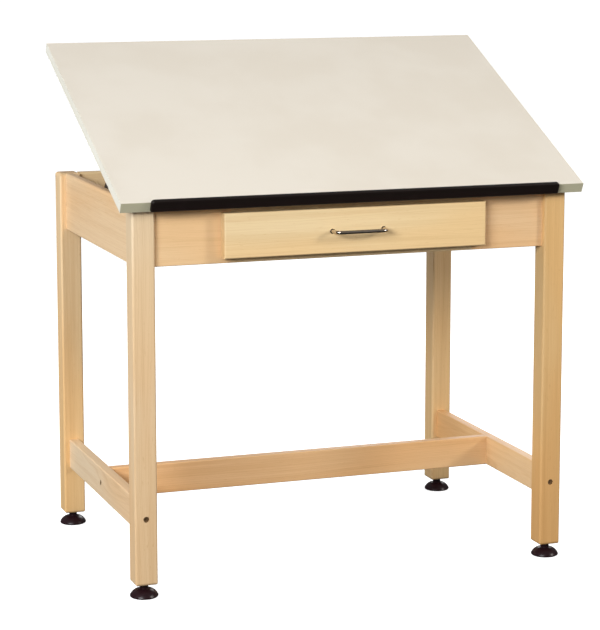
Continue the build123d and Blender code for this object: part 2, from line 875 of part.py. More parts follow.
def add_leaf(leaf_plane, inward, first):
    """Add the three leaves and their knuckles; inward is +1 if the leaf is above its plane."""
    leaf_centre = hinge_drop - hinge_leaf_thick / 2
    with BuildSketch(leaf_plane.offset(inward * leaf_centre - hinge_leaf_thick / 2)) as leaves:
        with Locations(*[(x, hinge_leaf / 2 + knuckle_radius / 2) for x in hinge_centres]):
            Rectangle(hinge_length - knuckle_gap, hinge_leaf - knuckle_radius)
        with Locations(*[(x, knuckle_radius / 2) for x in knuckle_centres(first)]):
            Rectangle(knuckle_length, knuckle_radius + knuckle_gap)
    extrude(leaves.sketch, amount=hinge_leaf_thick)
    with Locations(*[Location((x, hinge_y, hinge_z), (0, 90, 0)) for x in knuckle_centres(first)]):
        Cylinder(knuckle_radius, knuckle_length)
    with Locations(Location((0, hinge_y, hinge_z), (0, 90, 0))):
        Cylinder(hinge_pin_radius + hole_fit, board_width, mode=Mode.SUBTRACT)


with BuildPart() as hinge_base_leaves:
    add_leaf(Plane(origin=(0, hinge_y, hinge_z)), -1, 0)
    bore(hinge_base_planes, hinge_screw_radius + hole_fit, hinge_screw_length)
save(hinge_base_leaves, "hinge_base_leaves")

with BuildPart() as hinge_board_leaves:
    add_leaf(board_plane, 1, 1)
    bore(hinge_board_planes, hinge_screw_radius + hole_fit, hinge_screw_length)
save(hinge_board_leaves, "hinge_board_leaves")

with BuildPart() as hinge_pins:
    with Locations(*[Location((x, hinge_y, hinge_z), (0, 90, 0)) for x in hinge_centres]):
        Cylinder(hinge_pin_radius, hinge_length)
save(hinge_pins, "hinge_pins")

for planes, label in (
    (hinge_base_planes, "hinge_base_screws"),
    (hinge_board_planes, "hinge_board_screws"),
):
    with BuildPart() as hinge_screws:
        studs(
            planes,
            hinge_screw_radius,
            hinge_screw_length - 1,
            hinge_screw_head_radius,
            hinge_screw_head_height,
        )
    save(hinge_screws, label)

# ---- tilt stays: tracks on the side aprons ----
with BuildPart() as tilt_tracks:
    with BuildSketch(stay_plane.offset(track_standoff)):
        with Locations(((spacer_near + spacer_far) / 2, 0)):
            RectangleRounded(track_length, track_width, track_corner_radius)
        with Locations((slot_mid, 0)):
            slot_width = 2 * (clamp_radius + clamp_slot_play)
            SlotCenterToCenter(slot_far - slot_near, slot_width, mode=Mode.SUBTRACT)
    extrude(amount=track_thick)
    bore(track_screw_planes, screw_hole_radius, track_screw_length)
    mirror(about=Plane.YZ)
save(tilt_tracks, "tilt_tracks")

with BuildPart() as track_spacers:
    with BuildSketch(stay_plane):
        with Locations((spacer_near, 0), (spacer_far, 0)):
            RectangleRounded(spacer_size, spacer_size, track_corner_radius)
    extrude(amount=track_standoff)
    bore(track_screw_planes, screw_hole_radius, track_screw_length)
    mirror(about=Plane.YZ)
save(track_spacers, "track_spacers")

with BuildPart() as track_screws:
    studs(
        track_screw_planes,
        screw_radius,
        track_screw_length - 1,
        screw_head_radius,
        hinge_screw_head_height,
    )
    mirror(about=Plane.YZ)
save(track_screws, "track_screws")

# ---- tilt stays: arms, clamp bolts and knobs ----
arm_left_plane = bolt_plane.offset(arm_inset)
with BuildPart() as tilt_arm_left:
    with BuildSketch(arm_left_plane):
        with Locations((stay_reach / 2, 0)):
            SlotCenterToCenter(stay_reach, arm_width)
        Circle(clamp_radius + hole_fit, mode=Mode.SUBTRACT)
        with Locations((stay_reach, 0)):
            Circle(pivot_bore, mode=Mode.SUBTRACT)
    extrude(amount=arm_thick)
save(tilt_arm_left, "tilt_arm_left")

clamp_head_inset = track_standoff - clamp_head_gap - clamp_head_thick
with BuildPart() as clamp_bolt_left:
    with BuildSketch(bolt_plane.offset(clamp_head_inset)):
        Circle(clamp_head_radius)
    extrude(amount=clamp_head_thick)
    with BuildSketch(bolt_plane.offset(clamp_head_inset)):
        Circle(clamp_radius)
    extrude(amount=clamp_head_thick + clamp_length)
save(clamp_bolt_left, "clamp_bolt_left")

knob_inset = arm_inset + arm_thick + knob_gap
clamp_tip_inset = clamp_head_inset + clamp_head_thick + clamp_length
with BuildPart() as clamp_knob_left:
    with BuildSketch(bolt_plane.offset(knob_inset + knob_boss_thick)):
        Circle(knob_radius - knob_lobe_radius / 2)
        with PolarLocations(knob_radius - knob_lobe_radius, knob_lobes):
            Circle(knob_lobe_radius)
    extrude(amount=knob_thick)
    fillet(clamp_knob_left.faces().sort_by(Axis.X)[-1].edges(), knob_edge_radius)
    with BuildSketch(bolt_plane.offset(knob_inset)):
        Circle(knob_boss_radius)
    extrude(amount=knob_boss_thick)
    with BuildSketch(bolt_plane.offset(knob_inset)):
        Circle(knob_bore)
    extrude(amount=clamp_tip_inset - knob_inset + knob_gap, mode=Mode.SUBTRACT)
save(clamp_knob_left, "clamp_knob_left")

for left_piece, label in (
    (tilt_arm_left, "tilt_arm_right"),
    (clamp_bolt_left, "clamp_bolt_right"),
    (clamp_knob_left, "clamp_knob_right"),
):
    with BuildPart() as right_piece:
        mirror(left_piece.part, about=Plane.YZ)
    save(right_piece, label)

# ---- tilt stays: brackets under the board ----
bracket_plane = Plane(
    origin=board_plane.from_local_coords((-bracket_x, pivot_along, -stay_pivot_drop)),
    x_dir=board_plane.y_dir,
    z_dir=(1, 0, 0),
)
bracket_rise = stay_pivot_drop + hinge_drop
with BuildPart() as stay_brackets:
    with BuildSketch(bracket_plane):
        with BuildLine():
            half = bracket_width / 2
            nose = Line((-half, bracket_rise), (half, bracket_rise))
            right_edge = Line(nose @ 1, (bracket_nose_radius, 0))
            tip = ThreePointArc(
                right_edge @ 1, (0, -bracket_nose_radius), (-bracket_nose_radius, 0)
            )
            Line(tip @ 1, nose @ 0)
        make_face()
        Circle(pivot_radius + hole_fit, mode=Mode.SUBTRACT)
    extrude(amount=bracket_thick)
    with BuildSketch(board_plane.offset(hinge_drop - bracket_thick)):
        with Locations((-bracket_x + bracket_flange / 2, pivot_along)):
            Rectangle(bracket_flange, bracket_width)
    extrude(amount=bracket_thick)
    bore(bracket_screw_planes, screw_hole_radius, bracket_screw_length)
    mirror(about=Plane.YZ)
save(stay_brackets, "stay_brackets")

pivot_inset = arm_inset - pivot_head_thick - hole_fit
pivot_grip = arm_thick + bracket_gap + bracket_thick + 2 * hole_fit
pivot_plane = Plane(origin=(-apron_inner_x + pivot_inset, pivot_y, pivot_z), z_dir=(1, 0, 0))
with BuildPart() as stay_pivots:
    with BuildSketch(pivot_plane):
        Circle(pivot_head_radius)
    extrude(amount=pivot_head_thick)
    with BuildSketch(pivot_plane):
        Circle(pivot_radius)
    extrude(amount=pivot_head_thick + pivot_grip)
    with BuildSketch(pivot_plane.offset(pivot_head_thick + pivot_grip)):
        Circle(pivot_head_radius)
    extrude(amount=pivot_head_thick)
    mirror(about=Plane.YZ)
save(stay_pivots, "stay_pivots")

with BuildPart() as bracket_screws:
    studs(
        bracket_planes,
        screw_radius,
        bracket_screw_length - 1,
        screw_head_radius,
        hinge_screw_head_height,
    )
save(bracket_screws, "bracket_screws")

# ---- leveling glides ----
for side, end in leg_places:
    x = side * leg_x
    y = base_y + end * leg_y
    profile_plane = Plane(origin=(x, y, 0), x_dir=(1, 0, 0), z_dir=(0, -1, 0))
    with BuildPart() as glide_base:
        with BuildSketch(profile_plane):
            with BuildLine():
                floor_line = Line((0, 0), (glide_radius - glide_rim_height, 0))
                rim = RadiusArc(floor_line @ 1, (glide_radius, glide_rim_height), -glide_rim_height)
                dome = RadiusArc(rim @ 1, (glide_neck_radius, glide_dome_height), -glide_dome_radius)
                neck = Line(dome @ 1, (glide_neck_radius, glide_height))
                Polyline(neck @ 1, (0, glide_height), (0, 0))
            make_face()
        revolve(axis=Axis((x, y, 0), (0, 0, 1)))
        bore([Plane(origin=(x, y, glide_height))], stud_radius + hole_fit, glide_height - stud_low)
    save(glide_base, f"glide_base_{glide_names[side, end]}")

    with BuildPart() as glide_stud:
        with BuildSketch(Plane.XY.offset(stud_low)):
            with Locations((x, y)):
                Circle(stud_radius)
        extrude(amount=stud_high - stud_low)
        chamfer(glide_stud.faces().sort_by(Axis.Z)[-1].edges(), 1)
    save(glide_stud, f"glide_stud_{glide_names[side, end]}")

with BuildPart() as glide_tee_nuts:
    foot_places = [(side * leg_x, base_y + end * leg_y) for side, end in leg_places]
    with BuildSketch(Plane.XY.offset(leg_bottom)):
        with Locations(*foot_places):
            Circle(tee_flange_radius)
            Circle(stud_bore, mode=Mode.SUBTRACT)
    extrude(amount=-tee_flange_thick)
    with BuildSketch(Plane.XY.offset(leg_bottom)):
        with Locations(*foot_places):
            Circle(tee_barrel_radius)
            Circle(stud_bore, mode=Mode.SUBTRACT)
    extrude(amount=tee_barrel_length)
save(glide_tee_nuts, "glide_tee_nuts")
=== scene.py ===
import bmesh
import bpy
import json
import math
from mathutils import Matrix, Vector


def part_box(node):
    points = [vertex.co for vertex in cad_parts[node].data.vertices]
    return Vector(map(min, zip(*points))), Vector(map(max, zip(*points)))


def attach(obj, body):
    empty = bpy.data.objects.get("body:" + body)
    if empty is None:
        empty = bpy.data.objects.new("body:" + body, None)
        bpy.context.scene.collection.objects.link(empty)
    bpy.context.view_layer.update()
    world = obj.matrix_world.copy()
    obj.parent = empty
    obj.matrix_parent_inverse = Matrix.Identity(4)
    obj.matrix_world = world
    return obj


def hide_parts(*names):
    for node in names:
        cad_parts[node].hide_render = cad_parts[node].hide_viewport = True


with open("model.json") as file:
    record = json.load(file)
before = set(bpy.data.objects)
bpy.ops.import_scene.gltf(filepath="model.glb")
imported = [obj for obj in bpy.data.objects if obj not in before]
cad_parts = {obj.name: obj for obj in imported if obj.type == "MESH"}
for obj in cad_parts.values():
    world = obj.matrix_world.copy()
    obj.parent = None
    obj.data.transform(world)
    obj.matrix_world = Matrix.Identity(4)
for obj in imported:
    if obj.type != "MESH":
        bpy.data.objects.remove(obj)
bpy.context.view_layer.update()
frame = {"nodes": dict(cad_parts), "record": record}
nodes = frame["nodes"]
record = frame["record"]
node_body = {node: body for body, held in record["behaviour"]["bodies"].items() for node in held}
node_slot = {part["node"]: part["material_slot"] for part in record["subparts"]}

# ---- colours, linear ----
MAPLE = (0.80, 0.60, 0.345)
MAPLE_STREAK = (0.58, 0.345, 0.135)
BIRCH = (0.80, 0.63, 0.40)
BIRCH_STREAK = (0.64, 0.44, 0.24)
ALMOND = (0.755, 0.69, 0.592)
BAND_SIDE = (0.78, 0.73, 0.61)
# the front band's colour is the side band's colour darkened as painted shade, for the front edge
# that tilts down away from the lights
BAND_FRONT_PAINTED_SHADE = (0.50, 0.47, 0.33)
BACKER = (0.30, 0.235, 0.16)
CHIP = (0.40, 0.28, 0.16)
BLACK_VINYL = (0.011, 0.007, 0.006)
BLACK_PLASTIC = (0.018, 0.006, 0.008)
BLACK_STEEL = (0.030, 0.029, 0.030)
BRONZED_STEEL = (0.17, 0.10, 0.045)
ZINC = (0.62, 0.61, 0.57)
NICKEL = (0.66, 0.57, 0.48)
FLOOR = (0.90, 0.90, 0.90)

# for a piece that runs along each axis, which coordinates go across, across and along it
AXES = {"X": (1, 2, 0), "Y": (2, 0, 1), "Z": (0, 1, 2)}

# ---- wood figure: how often each feature repeats, per metre across and along the grain ----
WARP = (9.0, 1.6)
STREAKS = (95.0, 2.4)
FIBRES = (900.0, 22.0)
FLECKS = (520.0, 75.0)
CLOUDS = (7.0, 1.8)
RINGS = 150.0
RING_WAVE = 0.035
PITH_SWING = (0.04, 0.08)
PITH_OFFSET = 0.07

# ---- wood figure: how much of the dark tone each feature lays over the light one ----
LATE_WOOD_SHARE = 0.30
STREAK_SHARE = 0.24
FIBRE_SHARE = 0.16
FLECK_SHARE = 0.30
END_GRAIN_SHARE = 0.45
CLOUD_TINT = (1.0, 0.89, 0.76)

# ---- bump heights, in metres ----
WOOD_PORES = 0.00006
LAMINATE_TOOTH = 0.00004
CHIP_RELIEF = 0.0004
BACKER_FIBRES = 0.00008
DRAWN_LINES = 0.00003
MOULD_GRAIN = 0.00005
ROLLED_GRAIN = 0.00004


# ---- node graphs ----
class Graph:
    """A material's node tree, built up by short calls that each return an output socket."""

    def __init__(self, name):
        self.material = bpy.data.materials.new(name)
        self.material.use_nodes = True
        self.tree = self.material.node_tree
        self.shader = self.tree.nodes["Principled BSDF"]
        self.coords = self.tree.nodes.new("ShaderNodeTexCoord")

    def feed(self, socket, value):
        if isinstance(value, bpy.types.NodeSocket):
            self.tree.links.new(value, socket)
        else:
            socket.default_value = value

    def math(self, operation, a, b=0.0, c=0.0):
        node = self.tree.nodes.new("ShaderNodeMath")
        node.operation = operation
        for socket, value in zip(node.inputs, (a, b, c)):
            self.feed(socket, value)
        return node.outputs[0]

    def vector_math(self, operation, a, b):
        node = self.tree.nodes.new("ShaderNodeVectorMath")
        node.operation = operation
        self.feed(node.inputs[0], a)
        self.feed(node.inputs[1], b)
        return node.outputs["Value" if operation == "DOT_PRODUCT" else "Vector"]

    def noise(self, vector, scale=1.0, detail=2.0, roughness=0.5):
        node = self.tree.nodes.new("ShaderNodeTexNoise")
        self.feed(node.inputs["Vector"], vector)
        node.inputs["Scale"].default_value = scale
        node.inputs["Detail"].default_value = detail
        node.inputs["Roughness"].default_value = roughness
        return node.outputs[0]

    def step(self, value, low, high, out_low=0.0, out_high=1.0):
        """A smooth ramp of value, from out_low at low to out_high at high."""
        node = self.tree.nodes.new("ShaderNodeMapRange")
        node.interpolation_type = "SMOOTHSTEP"
        for socket, number in zip(node.inputs, (value, low, high, out_low, out_high)):
            self.feed(socket, number)
        return node.outputs[0]

    def mix(self, factor, a, b):
        node = self.tree.nodes.new("ShaderNodeMix")
        node.data_type = "RGBA"
        self.feed(node.inputs["Factor"], factor)
        for socket, value in ((node.inputs[6], a), (node.inputs[7], b)):
            self.feed(socket, (*value, 1) if isinstance(value, tuple) else value)
        return node.outputs[2]

    def swizzle(self, axis, shift):
        """Object coordinates with the chosen axis last, moved by shift."""
        split = self.tree.nodes.new("ShaderNodeSeparateXYZ")
        self.feed(split.inputs[0], self.coords.outputs["Object"])
        join = self.tree.nodes.new("ShaderNodeCombineXYZ")
        for socket, index in zip(join.inputs, AXES[axis]):
            self.feed(socket, split.outputs[index])
        return self.vector_math("ADD", join.outputs[0], shift)

    def bump(self, height, distance, strength=1.0):
        node = self.tree.nodes.new("ShaderNodeBump")
        node.inputs["Strength"].default_value = strength
        node.inputs["Distance"].default_value = distance
        self.feed(node.inputs["Height"], height)
        self.feed(self.shader.inputs["Normal"], node.outputs[0])

    def finish(self, color, roughness, metallic=0.0, coat=0.0, coat_roughness=0.2):
        self.feed(self.shader.inputs["Base Color"], color)
        self.feed(self.shader.inputs["Roughness"], roughness)
        self.shader.inputs["Metallic"].default_value = metallic
        self.shader.inputs["Coat Weight"].default_value = coat
        self.shader.inputs["Coat Roughness"].default_value = coat_roughness
        return self.material


def tinted(color, tint):
    return tuple(c * t for c, t in zip(color, tint))


def wood(name, axis, seed, light, dark, span, end_tints_with_painted_light):
    """Lacquered hardwood: growth rings round a far pith, long streaks, fibres and flecks.

    span is where the piece starts and ends along its axis; the last argument gives its tint at
    those two ends, partly the wood's own tone and partly painted light and shade.
    """
    g = Graph(name)
    shift = (0.31 * seed, 0.17 * seed, 0.53 * seed)
    p = g.swizzle(axis, shift)

    def figure(rate, detail):
        across, along = rate
        return g.noise(g.vector_math("MULTIPLY", p, (across, across, along)), detail=detail)

    warp = figure(WARP, 2.0)
    pith_across = PITH_OFFSET + PITH_SWING[0] * math.sin(seed * 2.4)
    pith_deep = PITH_SWING[1] * math.cos(seed * 1.7)
    split = g.tree.nodes.new("ShaderNodeSeparateXYZ")
    g.feed(split.inputs[0], p)
    da = g.math("SUBTRACT", split.outputs[0], shift[0] + pith_across)
    db = g.math("SUBTRACT", split.outputs[1], shift[1] + pith_deep)
    radius = g.math("SQRT", g.math("ADD", g.math("MULTIPLY", da, da), g.math("MULTIPLY", db, db)))
    wavy = g.math("MULTIPLY_ADD", warp, RING_WAVE, radius)
    rings = g.tree.nodes.new("ShaderNodeTexNoise")
    rings.noise_dimensions = "1D"
    g.feed(rings.inputs["W"], g.math("MULTIPLY", wavy, RINGS))
    rings.inputs["Detail"].default_value = 3.0
    late = g.step(rings.outputs[0], 0.50, 0.72)
    streak = g.step(figure(STREAKS, 3.0), 0.42, 0.70)
    fibre = figure(FIBRES, 2.0)
    fleck = g.step(figure(FLECKS, 1.0), 0.66, 0.78)
    cloud = g.step(figure(CLOUDS, 2.0), 0.35, 0.65)
    grain_way = [0, 0, 0]
    grain_way[AXES[axis][2]] = 1
    facing = g.vector_math("DOT_PRODUCT", g.coords.outputs["Normal"], tuple(grain_way))
    end = g.step(g.math("ABSOLUTE", facing), 0.8, 0.95)
    color = g.mix(cloud, light, tinted(light, CLOUD_TINT))
    color = g.mix(g.math("MULTIPLY", late, LATE_WOOD_SHARE), color, dark)
    color = g.mix(g.math("MULTIPLY", streak, STREAK_SHARE), color, dark)
    color = g.mix(g.math("MULTIPLY", g.step(fibre, 0.45, 0.75), FIBRE_SHARE), color, dark)
    color = g.mix(g.math("MULTIPLY", fleck, FLECK_SHARE), color, dark)
    color = g.mix(g.math("MULTIPLY", end, END_GRAIN_SHARE), color, dark)
    # tint ramp from one end of the piece to the other: partly the wood's own tone, partly painted
    # light and shade for the light falling off along the piece
    place = g.math("ADD", split.outputs[2], g.math("MULTIPLY_ADD", warp, 0.2, -0.1 - shift[2]))
    tint_with_painted_light = g.mix(g.step(place, *span), *end_tints_with_painted_light)
    color = g.vector_math("MULTIPLY", color, tint_with_painted_light)
    g.bump(g.math("ADD", fibre, g.math("MULTIPLY", late, 0.4)), WOOD_PORES, 0.5)
    return g.finish(color, g.step(fibre, 0.3, 0.7, 0.40, 0.52), coat=0.18, coat_roughness=0.22)


def laminate(name, color, seed):
    """Suede-finish laminate: faint mottling, a fine tooth and a dull sheen."""
    g = Graph(name)
    p = g.coords.outputs["Object"]
    cloud = g.noise(g.vector_math("ADD", p, (seed, seed, seed)), 6.0, 3.0)
    speck = g.noise(p, 900.0, 2.0)
    tooth = g.noise(p, 1800.0, 2.0)
    shade = g.mix(g.step(cloud, 0.35, 0.65), color, tinted(color, (0.965, 0.955, 0.94)))
    shade = g.mix(g.step(speck, 0.56, 0.72, 0.0, 0.10), shade, tinted(color, (0.80, 0.78, 0.74)))
    scuff = g.step(g.noise(g.vector_math("MULTIPLY", p, (3.0, 90.0, 90.0)), 1.0, 4.0), 0.66, 0.8)
    g.bump(tooth, LAMINATE_TOOTH, 0.6)
    g.shader.inputs["Specular IOR Level"].default_value = 0.30
    return g.finish(shade, g.math("MULTIPLY_ADD", scuff, -0.08, 0.62))


def particle_board(name):
    """Pressed wood chips with darker and lighter flakes."""
    g = Graph(name)
    p = g.coords.outputs["Object"]
    chip = g.noise(p, 320.0, 2.0)
    grit = g.noise(p, 1100.0, 2.0)
    color = g.mix(g.step(chip, 0.4, 0.6), CHIP, tinted(CHIP, (1.5, 1.5, 1.5)))
    color = g.mix(g.step(grit, 0.55, 0.7, 0.0, 0.6), color, tinted(CHIP, (0.5, 0.45, 0.4)))
    g.bump(chip, CHIP_RELIEF)
    return g.finish(color, 0.85)


def backer(name):
    """Brown kraft backer sheet with fibres pressed under it."""
    g = Graph(name)
    p = g.coords.outputs["Object"]
    cloud = g.noise(p, 9.0, 4.0)
    fibre = g.noise(g.vector_math("MULTIPLY", p, (260.0, 900.0, 900.0)), 1.0, 2.0)
    color = g.mix(g.step(cloud, 0.3, 0.7), BACKER, tinted(BACKER, (0.82, 0.80, 0.78)))
    color = g.mix(g.step(fibre, 0.6, 0.75, 0.0, 0.35), color, tinted(BACKER, (1.35, 1.35, 1.4)))
    g.bump(fibre, BACKER_FIBRES, 0.5)
    return g.finish(color, 0.62)


def extruded_vinyl(name, axis):
    """Black extrusion: drawn lines along its length, light scuffs, a soft sheen."""
    g = Graph(name)
    p = g.swizzle(axis, (0.4, 0.2, 0.1))
    drawn = g.noise(g.vector_math("MULTIPLY", p, (1500.0, 1500.0, 4.0)), 1.0, 2.0)
    scuff = g.step(g.noise(g.vector_math("MULTIPLY", p, (60.0, 60.0, 14.0)), 1.0, 4.0), 0.6, 0.8)
    dust = g.noise(p, 30.0, 3.0)
    color = g.mix(g.math("MULTIPLY", scuff, 0.5), BLACK_VINYL, tinted(BLACK_VINYL, (2.4, 2.4, 2.4)))
    color = g.mix(g.step(dust, 0.5, 0.8, 0.0, 0.4), color, tinted(BLACK_VINYL, (1.6, 1.6, 1.7)))
    g.bump(drawn, DRAWN_LINES, 0.5)
    g.shader.inputs["Specular IOR Level"].default_value = 0.22
    return g.finish(color, g.math("MULTIPLY_ADD", scuff, 0.12, 0.36))


def moulded_plastic(name, color):
    """Injection-moulded plastic with a fine spark-eroded grain and rubbed high spots."""
    g = Graph(name)
    p = g.coords.outputs["Object"]
    grain = g.noise(p, 2200.0, 2.0)
    rub = g.step(g.noise(p, 70.0, 4.0), 0.5, 0.75)
    shade = g.mix(g.math("MULTIPLY", rub, 0.5), color, tinted(color, (2.1, 2.1, 2.1)))
    g.bump(grain, MOULD_GRAIN, 0.6)
    g.shader.inputs["Specular IOR Level"].default_value = 0.30
    return g.finish(shade, g.math("MULTIPLY_ADD", rub, -0.08, 0.30))


def black_oxide(name, base, metallic):
    """Blackened or bronzed steel with a rolled grain and rubbed patches."""
    g = Graph(name)
    p = g.coords.outputs["Object"]
    rolled = g.noise(g.vector_math("MULTIPLY", p, (900.0, 60.0, 900.0)), 1.0, 3.0)
    rub = g.step(g.noise(p, 45.0, 5.0), 0.52, 0.74)
    color = g.mix(g.math("MULTIPLY", rub, 0.5), base, tinted(base, (3.2, 3.0, 2.8)))
    g.bump(rolled, ROLLED_GRAIN, 0.5)
    return g.finish(color, g.math("MULTIPLY_ADD", rub, -0.10, 0.46), metallic=metallic)


def plated_steel(name, color, axis, rough):
    """Zinc or nickel plate, drawn or brushed along one axis, with faint clouding."""
    g = Graph(name)
    p = g.swizzle(axis, (0.2, 0.1, 0.3))
    brushed = g.noise(g.vector_math("MULTIPLY", p, (2600.0, 2600.0, 90.0)), 1.0, 3.0)
    cloud = g.noise(p, 60.0, 4.0)
    shade = g.mix(g.step(cloud, 0.35, 0.7), color, tinted(color, (0.84, 0.82, 0.76)))
    shade = g.mix(g.step(brushed, 0.5, 0.8, 0.0, 0.3), shade, tinted(color, (0.6, 0.6, 0.6)))
    g.bump(brushed, DRAWN_LINES, 0.5)
    return g.finish(shade, g.step(brushed, 0.3, 0.7, rough, rough + 0.12), metallic=1.0)


# ---- finishes of the CAD nodes ----
# grain axis, seed, and the tint at the piece's low and high ends along that axis: partly each
# piece's own tone, partly painted light and shade, with the legs lighter towards their tops, the
# right-hand legs and the right rail darker, and the stretcher lighter at its left end
MAPLE_PIECES = {
    "leg_front_left": ("Z", 1.0, (0.98, 0.92, 0.92), (0.98, 1.06, 1.28)),
    "leg_front_right": ("Z", 2.3, (0.87, 0.70, 0.50), (0.93, 0.86, 0.72)),
    "leg_rear_left": ("Z", 3.1, (1.04, 0.94, 0.80), (1.04, 0.99, 0.98)),
    "leg_rear_right": ("Z", 4.7, (0.95, 0.90, 0.82), (0.98, 0.95, 0.92)),
    "side_apron_left": ("Y", 5.2, (1.02, 0.96, 0.97), (1.02, 0.94, 0.93)),
    "side_apron_right": ("Y", 6.4, (0.99, 0.97, 0.94), (0.99, 0.97, 0.94)),
    "rear_apron": ("X", 7.7, (1.0, 0.99, 0.97), (1.0, 0.99, 0.97)),
    "front_apron_ends": ("X", 8.9, (1.04, 1.00, 1.02), (1.01, 0.92, 0.90)),
    "drawer_rails": ("X", 9.3, (0.98, 0.95, 0.90), (0.98, 0.95, 0.90)),
    "side_rail_left": ("Y", 10.6, (1.04, 1.02, 1.12), (1.00, 1.00, 1.10)),
    "side_rail_right": ("Y", 11.8, (1.02, 0.90, 0.82), (0.96, 0.74, 0.55)),
    "long_stretcher": ("X", 12.5, (1.08, 0.88, 0.76), (0.97, 0.82, 0.72)),
    "drawer_front": ("X", 13.4, (1.06, 1.09, 1.10), (1.07, 1.12, 1.14)),
}
# grain axis and seed
BIRCH_PIECES = {
    "drawer_side_left": ("Y", 14.2),
    "drawer_side_right": ("Y", 15.5),
    "drawer_subfront": ("X", 16.1),
    "drawer_back": ("X", 17.8),
    "drawer_bottom": ("X", 18.4),
    "drawer_runners": ("Y", 19.9),
    "drawer_kickers": ("Y", 20.3),
    "dowels": ("Y", 21.6),
}


def span(node, axis):
    """Where the node starts and ends along an axis."""
    reach = [corner[AXES[axis][2]] for corner in nodes[node].bound_box]
    return min(reach), max(reach)


def finishes():
    """The material of every CAD node, by node."""
    made = {}
    # each maple piece gets its own end tints, partly tone and partly painted light and shade
    for node, (axis, seed, *end_tints_with_painted_light) in MAPLE_PIECES.items():
        made[node] = wood(f"maple_{node}", axis, seed, MAPLE, MAPLE_STREAK, span(node, axis), end_tints_with_painted_light)
    for node, (axis, seed) in BIRCH_PIECES.items():
        plain = [(1, 1, 1), (0.97, 0.96, 0.95)]
        made[node] = wood(f"birch_{node}", axis, seed, BIRCH, BIRCH_STREAK, span(node, axis), plain)
    made["board_core"] = particle_board("particle_core")
    made["board_backer"] = backer("kraft_backer")
    made["board_laminate"] = laminate("almond_laminate", ALMOND, 0.0)
    made["edge_bands"] = laminate("edge_band_side", BAND_SIDE, 3.0)
    # the front edge band gets the darkened band colour: painted shade on an edge that faces down
    made["edge_band_front"] = laminate("edge_band_face_painted_shade", BAND_FRONT_PAINTED_SHADE, 5.0)
    made["pencil_stop"] = extruded_vinyl("black_vinyl", "X")
    made["frame_bolts"] = black_oxide("bronzed_bolts", BRONZED_STEEL, 0.3)
    made["drawer_pull"] = plated_steel("satin_nickel", NICKEL, "X", 0.13)
    shared = {
        "black_steel": black_oxide("black_oxide", BLACK_STEEL, 0.6),
        "zinc_steel": plated_steel("bright_zinc", ZINC, "Z", 0.38),
        "black_plastic": moulded_plastic("moulded_black", BLACK_PLASTIC),
    }
    for node, slot in node_slot.items():
        if node not in made:
            made[node] = shared[slot]
    return made


materials = finishes()
for node, material in materials.items():
    obj = nodes[node]
    if obj.data.materials:
        for slot in obj.material_slots:
            slot.material = material
    else:
        obj.data.materials.append(material)

# ---- screws with cross recesses ----
SCREW_NODES = (
    "pull_screws", "drawer_front_screws", "hinge_base_screws", "hinge_board_screws",
    "track_screws", "bracket_screws", "runner_screws",
)
# parts of the head's radius
RECESS_REACH = 0.60
RECESS_HALF_WIDTH = 0.13
RECESS_DEPTH = 0.50
RECESS_OVERRUN = 0.1
# the recess's size at its bottom, as a part of that at its top
RECESS_TAPER = 0.45
FLAT_END = 0.00005
WELD_DISTANCE = 1e-7
SHARP_ANGLE = math.radians(35)


def islands(bm):
    """The connected groups of faces of a mesh."""
    left = set(bm.faces)
    while left:
        found = [left.pop()]
        for face in found:
            for edge in face.edges:
                for other in edge.link_faces:
                    if other in left:
                        left.remove(other)
                        found.append(other)
        yield found


def screw_head(faces):
    """Where a screw's head ends: the middle of its flat top, the way out of it, and its radius."""
    totals = {}
    for face in faces:
        normal = face.normal * (1 if tuple(face.normal) > (0, 0, 0) else -1)
        key = tuple(round(v, 2) for v in normal)
        totals.setdefault(key, [0.0, normal])[0] += face.calc_area()
    axis = max(totals.values(), key=lambda entry: entry[0])[1].normalized()
    points = {v.co.copy().freeze() for face in faces for v in face.verts}
    ends = []
    for way in (axis, -axis):
        top = max(p.dot(way) for p in points)
        rim = [p for p in points if p.dot(way) > top - FLAT_END]
        middle = sum(rim, Vector()) / len(rim)
        ends.append((max((p - middle).length for p in rim), middle, way))
    radius, middle, way = max(ends, key=lambda end: end[0])
    return middle, way, radius


def cross_outline(radius):
    """The twelve corners of a cross, in its own plane."""
    a = RECESS_HALF_WIDTH * radius
    b = RECESS_REACH * radius
    quarter = [(b, -a), (b, a), (a, a)]
    corners = []
    for turn in range(4):
        c, s = math.cos(turn * math.pi / 2), math.sin(turn * math.pi / 2)
        corners += [(c * x - s * y, s * x + c * y) for x, y in quarter]
    return corners


def add_cross(bm, middle, way, radius):
    """A tapered cross-shaped plug, to be cut out of a screw head."""
    side = way.orthogonal().normalized()
    other = way.cross(side)
    rings = []
    for rise, scale in ((RECESS_OVERRUN, 1.0), (-RECESS_DEPTH, RECESS_TAPER)):
        corners = [
            middle + (side * x + other * y) * scale + way * (rise * radius)
            for x, y in cross_outline(radius)
        ]
        rings.append([bm.verts.new(corner) for corner in corners])
    high, low = rings
    bm.faces.new(high)
    bm.faces.new(low[::-1])
    for k in range(len(high)):
        after = (k + 1) % len(high)
        bm.faces.new((high[k], low[k], low[after], high[after]))


def new_object(name, mesh):
    obj = bpy.data.objects.new(name, mesh)
    bpy.context.scene.collection.objects.link(obj)
    return obj


def stand_for(piece, node):
    """Put a piece in a CAD node's place, on its body and with its finish."""
    # normals and sharp edges copied from the CAD mesh don't fit the new faces
    for name in ("custom_normal", "sharp_edge", "sharp_face"):
        if name in piece.data.attributes:
            piece.data.attributes.remove(piece.data.attributes[name])
    piece.data.shade_smooth()
    piece.data.set_sharp_from_angle(angle=SHARP_ANGLE)
    piece.data.materials.clear()
    piece.data.materials.append(materials[node])
    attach(piece, node_body[node])
    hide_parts(node)


